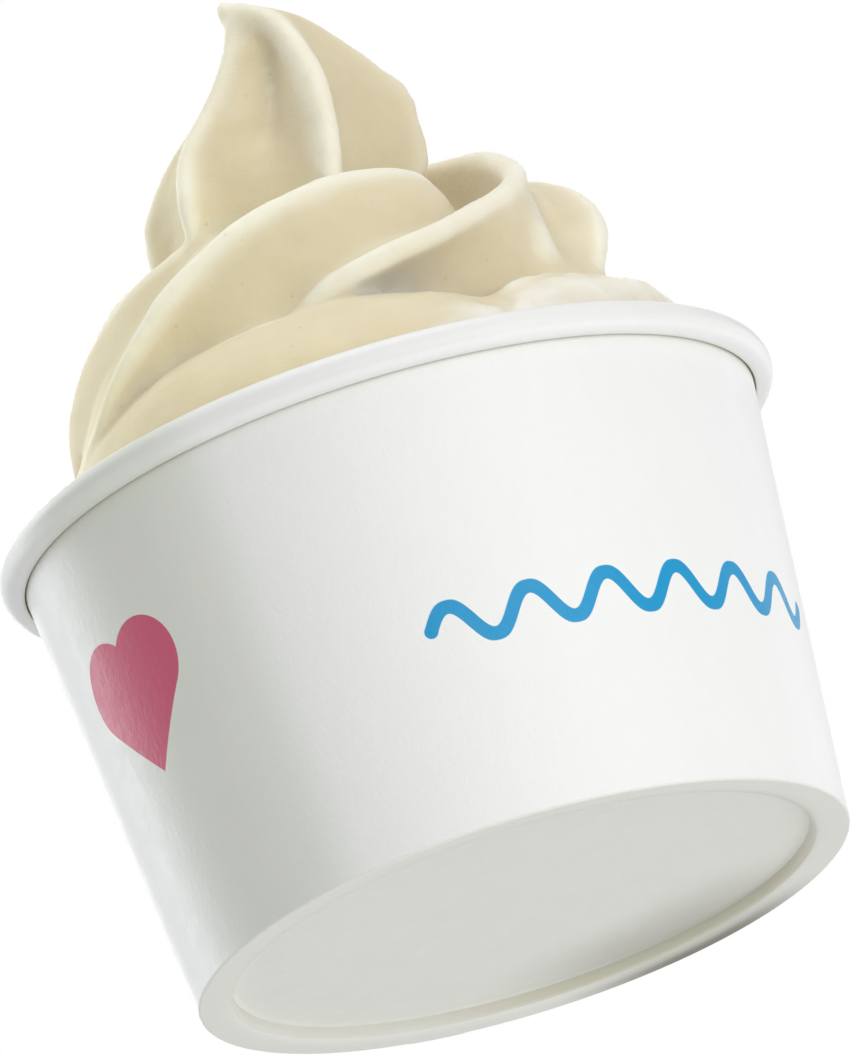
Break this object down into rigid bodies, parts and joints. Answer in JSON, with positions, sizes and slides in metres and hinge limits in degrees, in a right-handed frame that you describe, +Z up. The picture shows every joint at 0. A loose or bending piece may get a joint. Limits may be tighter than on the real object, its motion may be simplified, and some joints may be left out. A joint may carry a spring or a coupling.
{
  "type": "frozen yogurt cup",
  "caption": "Tapered white paper cup with a rolled rim and a recessed base, filled with a pale vanilla soft-serve frozen yogurt swirl ending in a curled peak.",
  "frame": {"origin": "centre of the cup's seat ring, on the plane it stands on", "axes": "+Z up along the cup's axis; -Y is the side shown in the reference view, +X to its right"},
  "size_m": [0.096, 0.096, 0.1202],
  "materials": {
    "cup_paperboard": "smooth white coated paperboard, satin sheen",
    "base_paperboard": "uncoated white paperboard, matt",
    "vanilla_yogurt": "soft matt cream, slightly translucent, fine pores"
  },
  "bodies": {
    "root": {"cup_wall": "cup_paperboard", "cup_base": "base_paperboard", "frozen_yogurt": "vanilla_yogurt"}
  },
  "joints": []
}
